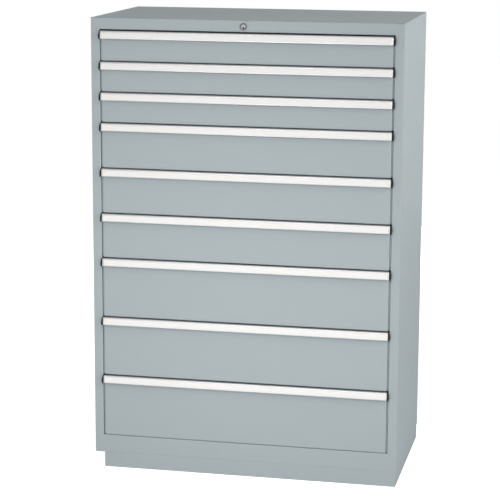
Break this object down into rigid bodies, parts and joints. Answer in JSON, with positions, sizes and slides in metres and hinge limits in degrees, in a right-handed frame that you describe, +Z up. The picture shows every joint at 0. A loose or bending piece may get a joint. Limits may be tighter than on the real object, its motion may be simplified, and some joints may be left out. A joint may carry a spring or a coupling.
{
  "type": "industrial drawer cabinet",
  "caption": "Tall steel cabinet of full-width, full-extension drawers, shallow at the top and deeper below, with aluminium handles along the drawer tops, a central lock and a low base.",
  "frame": {"origin": "On the floor, under the middle of the closed cabinet's overall box, handles included", "axes": "+X to the right seen from the front, +Y from the front to the back, +Z up"},
  "size_m": [1.022, 0.585, 1.511],
  "materials": {
    "paint": "fine satin powder coat, light blue-grey",
    "zinc": "zinc plated",
    "aluminium": "satin anodised, with black plastic end caps",
    "lock_steel": "satin nickel"
  },
  "bodies": {
    "housing": {"base": "paint", "bottom_panel": "paint", "side_wall_left": "paint", "side_wall_right": "paint", "back_panel": "paint", "top_panel": "paint", "lock_barrel": "lock_steel", "runner_frame_left": "zinc", "runner_frame_right": "zinc"},
    "lock_plug": {"lock_plug": "lock_steel"},
    "lock_bar": {"lock_bar": "zinc"},
    "drawer_1": {"drawer_1_front": "paint", "drawer_1_tray": "paint", "drawer_1_handle": "aluminium"},
    "carriage_1": {"carriage_1_left": "zinc", "carriage_1_right": "zinc"},
    "drawer_2": {"drawer_2_front": "paint", "drawer_2_tray": "paint", "drawer_2_handle": "aluminium"},
    "carriage_2": {"carriage_2_left": "zinc", "carriage_2_right": "zinc"},
    "drawer_3": {"drawer_3_front": "paint", "drawer_3_tray": "paint", "drawer_3_handle": "aluminium"},
    "carriage_3": {"carriage_3_left": "zinc", "carriage_3_right": "zinc"},
    "drawer_4": {"drawer_4_front": "paint", "drawer_4_tray": "paint", "drawer_4_handle": "aluminium"},
    "carriage_4": {"carriage_4_left": "zinc", "carriage_4_right": "zinc"},
    "drawer_5": {"drawer_5_front": "paint", "drawer_5_tray": "paint", "drawer_5_handle": "aluminium"},
    "carriage_5": {"carriage_5_left": "zinc", "carriage_5_right": "zinc"},
    "drawer_6": {"drawer_6_front": "paint", "drawer_6_tray": "paint", "drawer_6_handle": "aluminium"},
    "carriage_6": {"carriage_6_left": "zinc", "carriage_6_right": "zinc"},
    "drawer_7": {"drawer_7_front": "paint", "drawer_7_tray": "paint", "drawer_7_handle": "aluminium"},
    "carriage_7": {"carriage_7_left": "zinc", "carriage_7_right": "zinc"},
    "drawer_8": {"drawer_8_front": "paint", "drawer_8_tray": "paint", "drawer_8_handle": "aluminium"},
    "carriage_8": {"carriage_8_left": "zinc", "carriage_8_right": "zinc"},
    "drawer_9": {"drawer_9_front": "paint", "drawer_9_tray": "paint", "drawer_9_handle": "aluminium"},
    "carriage_9": {"carriage_9_left": "zinc", "carriage_9_right": "zinc"}
  },
  "joints": [
    {"name": "drawer_1_slide", "type": "slide", "parent": "housing", "child": "drawer_1", "axis": [0, -1, 0], "range_m": [0, 0.5]},
    {"name": "carriage_1_slide", "type": "slide", "parent": "housing", "child": "carriage_1", "axis": [0, -1, 0], "range_m": [0, 0.25]},
    {"name": "drawer_2_slide", "type": "slide", "parent": "housing", "child": "drawer_2", "axis": [0, -1, 0], "range_m": [0, 0.5]},
    {"name": "carriage_2_slide", "type": "slide", "parent": "housing", "child": "carriage_2", "axis": [0, -1, 0], "range_m": [0, 0.25]},
    {"name": "drawer_3_slide", "type": "slide", "parent": "housing", "child": "drawer_3", "axis": [0, -1, 0], "range_m": [0, 0.5]},
    {"name": "carriage_3_slide", "type": "slide", "parent": "housing", "child": "carriage_3", "axis": [0, -1, 0], "range_m": [0, 0.25]},
    {"name": "drawer_4_slide", "type": "slide", "parent": "housing", "child": "drawer_4", "axis": [0, -1, 0], "range_m": [0, 0.5]},
    {"name": "carriage_4_slide", "type": "slide", "parent": "housing", "child": "carriage_4", "axis": [0, -1, 0], "range_m": [0, 0.25]},
    {"name": "drawer_5_slide", "type": "slide", "parent": "housing", "child": "drawer_5", "axis": [0, -1, 0], "range_m": [0, 0.5]},
    {"name": "carriage_5_slide", "type": "slide", "parent": "housing", "child": "carriage_5", "axis": [0, -1, 0], "range_m": [0, 0.25]},
    {"name": "drawer_6_slide", "type": "slide", "parent": "housing", "child": "drawer_6", "axis": [0, -1, 0], "range_m": [0, 0.5]},
    {"name": "carriage_6_slide", "type": "slide", "parent": "housing", "child": "carriage_6", "axis": [0, -1, 0], "range_m": [0, 0.25]},
    {"name": "drawer_7_slide", "type": "slide", "parent": "housing", "child": "drawer_7", "axis": [0, -1, 0], "range_m": [0, 0.5]},
    {"name": "carriage_7_slide", "type": "slide", "parent": "housing", "child": "carriage_7", "axis": [0, -1, 0], "range_m": [0, 0.25]},
    {"name": "drawer_8_slide", "type": "slide", "parent": "housing", "child": "drawer_8", "axis": [0, -1, 0], "range_m": [0, 0.5]},
    {"name": "carriage_8_slide", "type": "slide", "parent": "housing", "child": "carriage_8", "axis": [0, -1, 0], "range_m": [0, 0.25]},
    {"name": "drawer_9_slide", "type": "slide", "parent": "housing", "child": "drawer_9", "axis": [0, -1, 0], "range_m": [0, 0.5]},
    {"name": "carriage_9_slide", "type": "slide", "parent": "housing", "child": "carriage_9", "axis": [0, -1, 0], "range_m": [0, 0.25]},
    {"name": "lock_turn", "type": "hinge", "parent": "housing", "child": "lock_plug", "pos_m": [-0.005, -0.27952, 1.491], "axis": [0, -1, 0], "range_deg": [0, 90]},
    {"name": "lock_bar_lift", "type": "slide", "parent": "housing", "child": "lock_bar", "axis": [0, 0, 1], "range_m": [0, 0.01]}
  ],
  "couplings": [
    {"joint": "carriage_1_slide", "follows": "drawer_1_slide", "ratio": 0.5},
    {"joint": "carriage_2_slide", "follows": "drawer_2_slide", "ratio": 0.5},
    {"joint": "carriage_3_slide", "follows": "drawer_3_slide", "ratio": 0.5},
    {"joint": "carriage_4_slide", "follows": "drawer_4_slide", "ratio": 0.5},
    {"joint": "carriage_5_slide", "follows": "drawer_5_slide", "ratio": 0.5},
    {"joint": "carriage_6_slide", "follows": "drawer_6_slide", "ratio": 0.5},
    {"joint": "carriage_7_slide", "follows": "drawer_7_slide", "ratio": 0.5},
    {"joint": "carriage_8_slide", "follows": "drawer_8_slide", "ratio": 0.5},
    {"joint": "carriage_9_slide", "follows": "drawer_9_slide", "ratio": 0.5},
    {"joint": "lock_turn", "follows": "lock_bar_lift", "rad_per_m": 157.08}
  ]
}
